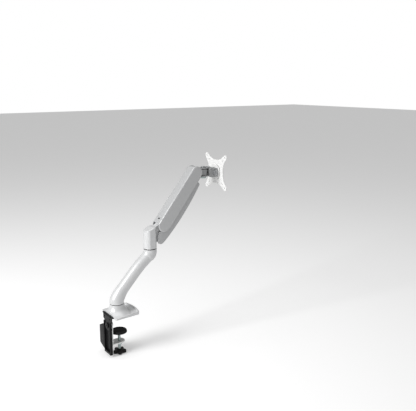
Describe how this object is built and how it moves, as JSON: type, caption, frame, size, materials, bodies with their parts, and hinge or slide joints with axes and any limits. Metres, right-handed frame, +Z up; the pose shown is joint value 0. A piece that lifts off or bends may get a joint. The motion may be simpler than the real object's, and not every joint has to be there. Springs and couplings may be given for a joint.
{
  "type": "monitor arm",
  "caption": "Desk-clamped swivelling monitor arm with a spring-balanced lifting upper arm, a tilting head and a hole plate for a screen.",
  "frame": {"origin": "underside of the foot, where it rests on the desk, on the axis of the foot's swivel", "axes": "+Z up; -Y towards the user and the screen; +Y to the desk's rear edge, where the clamp hangs; +X to the side with the cable guide"},
  "size_m": [0.1168, 0.4164, 0.6011],
  "materials": {
    "silver_paint": "smooth satin silver-white powder coat",
    "cover_plastic": "fine satin silver-grey plastic",
    "head_paint": "satin mid-grey coat",
    "plate_paint": "satin near-white coat",
    "black_steel": "satin black powder coat",
    "black_plastic": "matt black plastic",
    "zinc": "bright zinc plate",
    "steel": "plain ground steel",
    "nylon": "dull dark bearing plastic",
    "pad_rubber": "matt black rubber"
  },
  "bodies": {
    "base": {"base_cover": "silver_paint", "base_pad": "pad_rubber", "base_post": "steel", "flange_screw_left": "zinc", "flange_screw_right": "zinc", "base_swivel_ring": "nylon", "clamp_bracket": "black_steel", "clamp_channel": "black_steel", "clamp_jaw": "zinc", "jaw_nut": "zinc", "column_bolt": "black_steel", "column_nut": "black_steel", "cable_guide": "black_plastic"},
    "clamp_pad": {"clamp_pad": "black_plastic", "pad_rubber": "pad_rubber"},
    "clamp_screw": {"clamp_screw": "zinc", "clamp_knob": "black_plastic"},
    "lower_arm": {"lower_arm": "silver_paint", "base_bush": "nylon", "elbow_bush": "nylon", "elbow_swivel_ring": "nylon"},
    "elbow": {"elbow_knuckle": "silver_paint", "elbow_post": "steel", "lift_pin_left": "steel", "lift_pin_right": "steel", "rear_spacer_left": "nylon", "rear_spacer_right": "nylon", "rear_link_pin": "steel", "spring_anchor": "steel", "tension_screw": "zinc"},
    "upper_link": {"upper_link": "steel", "front_lift_pin": "steel", "spring_pin": "steel", "upper_arm_cover": "cover_plastic", "cover_screw_rear": "zinc", "cover_screw_front": "zinc"},
    "lower_link": {"lower_link": "cover_plastic"},
    "gas_rod": {"gas_rod": "zinc"},
    "gas_cylinder": {"gas_cylinder": "black_steel"},
    "head": {"head_bracket": "head_paint", "front_link_pin": "steel", "front_spacer_left": "nylon", "front_spacer_right": "nylon", "swivel_washer_top": "nylon", "swivel_washer_bottom": "nylon"},
    "swivel": {"swivel_yoke": "head_paint", "swivel_bolt": "steel", "swivel_nut": "zinc", "tilt_washer_left": "nylon", "tilt_washer_right": "nylon"},
    "tilt": {"tilt_bracket": "head_paint", "tilt_bolt": "zinc", "tilt_nut": "zinc", "rotation_screw": "zinc", "rotation_washer": "nylon"},
    "plate": {"vesa_plate": "plate_paint"}
  },
  "joints": [
    {"name": "clamp_slide", "type": "slide", "parent": "base", "child": "clamp_pad", "axis": [0, 0, 1], "range_m": [-0.02, 0.015]},
    {"name": "clamp_turn", "type": "hinge", "parent": "clamp_pad", "child": "clamp_screw", "pos_m": [0, -0.004, -0.1], "axis": [0, 0, 1], "range_deg": [-5800, 4350]},
    {"name": "base_swivel", "type": "hinge", "parent": "base", "child": "lower_arm", "pos_m": [0, 0, 0.0355], "axis": [0, 0, 1], "range_deg": [-90, 90]},
    {"name": "elbow_swivel", "type": "hinge", "parent": "lower_arm", "child": "elbow", "pos_m": [0, -0.1213, 0.1907], "axis": [0, 0, 1], "range_deg": [-170, 170]},
    {"name": "lift", "type": "hinge", "parent": "elbow", "child": "upper_link", "pos_m": [0, -0.1638, 0.2612], "axis": [-1, 0, 0], "range_deg": [-80, 0]},
    {"name": "lower_link_turn", "type": "hinge", "parent": "elbow", "child": "lower_link", "pos_m": [0, -0.1638, 0.2212], "axis": [-1, 0, 0], "range_deg": [-81, 1]},
    {"name": "rod_turn", "type": "hinge", "parent": "elbow", "child": "gas_rod", "pos_m": [0, -0.1678, 0.2442], "axis": [-1, 0, 0], "range_deg": [-81, 1]},
    {"name": "cylinder_slide", "type": "slide", "parent": "gas_rod", "child": "gas_cylinder", "axis": [0, -0.5855, 0.8107], "range_m": [-0.03, 0.001]},
    {"name": "head_level", "type": "hinge", "parent": "upper_link", "child": "head", "pos_m": [0, -0.28768, 0.41694], "axis": [-1, 0, 0], "range_deg": [-1, 81]},
    {"name": "head_swivel", "type": "hinge", "parent": "head", "child": "swivel", "pos_m": [0, -0.32618, 0.41594], "axis": [0, 0, 1], "range_deg": [-65, 65]},
    {"name": "tilt", "type": "hinge", "parent": "swivel", "child": "tilt", "pos_m": [0, -0.35848, 0.41274], "axis": [-1, 0, 0], "range_deg": [-30, 60]},
    {"name": "plate_turn", "type": "hinge", "parent": "tilt", "child": "plate", "pos_m": [0, -0.37538, 0.41274], "axis": [0, 1, 0], "range_deg": [-90, 90]}
  ],
  "couplings": [
    {"joint": "lower_link_turn", "follows": "lift", "ratio": 1},
    {"joint": "head_level", "follows": "lift", "ratio": -1},
    {"joint": "rod_turn", "follows": "lift", "ratio": 0.985},
    {"joint": "cylinder_slide", "follows": "lift", "m_per_rad": 0.0157},
    {"joint": "clamp_turn", "follows": "clamp_slide", "rad_per_m": 5026.5}
  ]
}
